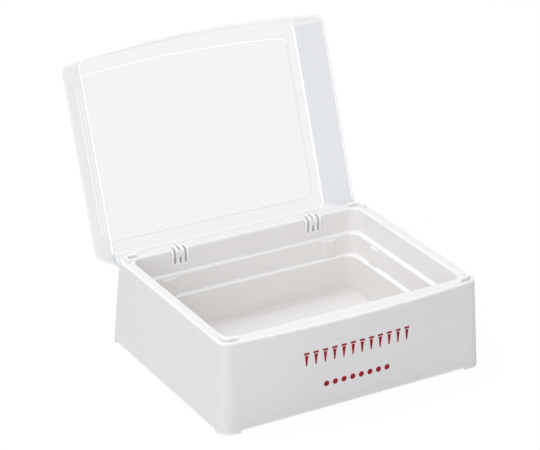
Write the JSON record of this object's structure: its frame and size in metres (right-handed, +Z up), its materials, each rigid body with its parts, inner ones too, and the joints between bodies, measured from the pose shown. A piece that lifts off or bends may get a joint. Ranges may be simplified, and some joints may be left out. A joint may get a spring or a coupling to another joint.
{
  "type": "pipette tip box",
  "caption": "Empty laboratory box for a rack of pipette tips: white double-walled base with stepped rack ledges and a clear hinged lid, shown open.",
  "frame": {"origin": "on the ground plane under the feet, below the middle of the base: half way across the rim's width and half way between its front and back corners", "axes": "+X along the hinge, to the right as the user faces the box; -Y towards the user, +Y towards the hinge; +Z up"},
  "size_m": [0.1232, 0.1484, 0.1171],
  "materials": {
    "white_moulding": "satin",
    "clear_moulding": "gloss",
    "red_print": "satin"
  },
  "bodies": {
    "base": {"base": "white_moulding"},
    "lid": {"lid": "clear_moulding"}
  },
  "joints": [
    {"name": "lid_hinge", "type": "hinge", "parent": "base", "child": "lid", "pos_m": [0, 0.043, 0.0342], "axis": [1, 0, 0], "range_deg": [0, 111]}
  ]
}
